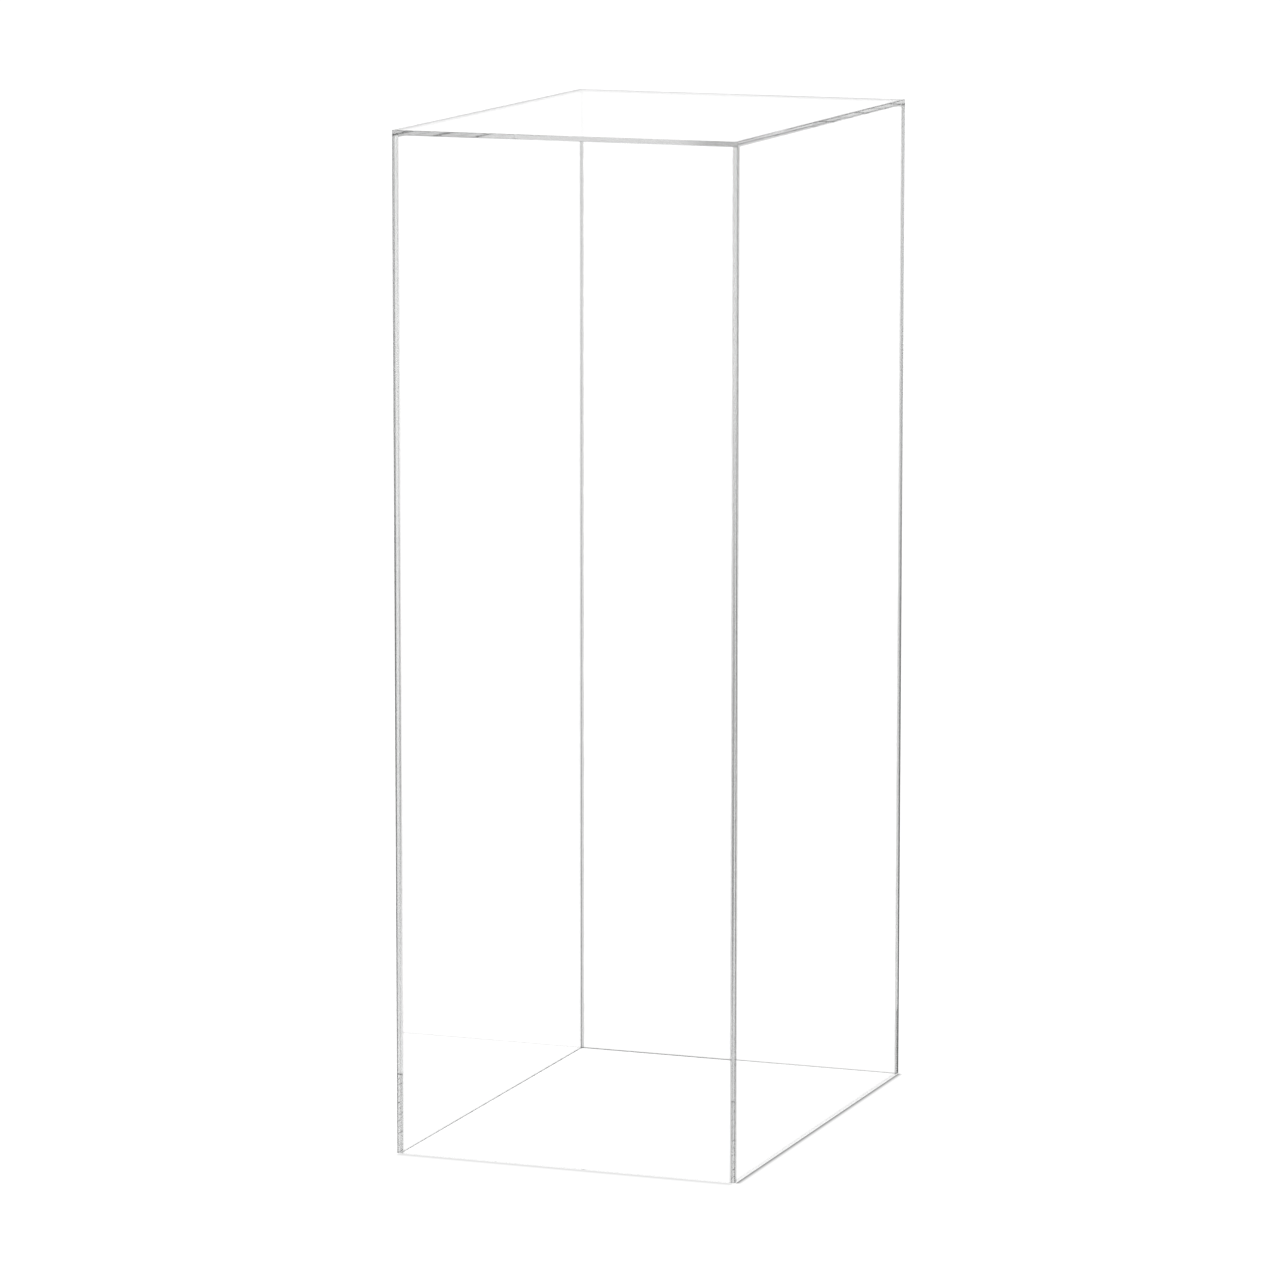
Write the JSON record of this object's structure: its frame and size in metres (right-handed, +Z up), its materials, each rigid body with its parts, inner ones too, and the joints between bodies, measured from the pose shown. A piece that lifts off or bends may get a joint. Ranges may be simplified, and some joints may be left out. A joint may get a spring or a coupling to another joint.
{
  "type": "display plinth",
  "caption": "Tall rectangular display plinth: an open-bottomed box of clear acrylic sheet with a flat top panel over upright walls, bonded at every edge.",
  "frame": {"origin": "middle of the rectangular footprint, on the plane that the plinth stands on", "axes": "+Z up; +X across the narrower faces, to the right seen from the front; -Y out of the front face, so +Y runs along the longer side"},
  "size_m": [0.35, 0.5, 1],
  "materials": {
    "clear_acrylic": "clear cast acrylic sheet, glossy faces and polished edges",
    "clear_cement": "clear cured acrylic cement with a few fine bubbles"
  },
  "bodies": {
    "root": {"top_panel": "clear_acrylic", "front_panel": "clear_acrylic", "back_panel": "clear_acrylic", "left_panel": "clear_acrylic", "right_panel": "clear_acrylic", "top_bond_front": "clear_cement", "top_bond_back": "clear_cement", "top_bond_left": "clear_cement", "top_bond_right": "clear_cement", "corner_bond_front_left": "clear_cement", "corner_bond_back_left": "clear_cement", "corner_bond_front_right": "clear_cement", "corner_bond_back_right": "clear_cement"}
  },
  "joints": []
}
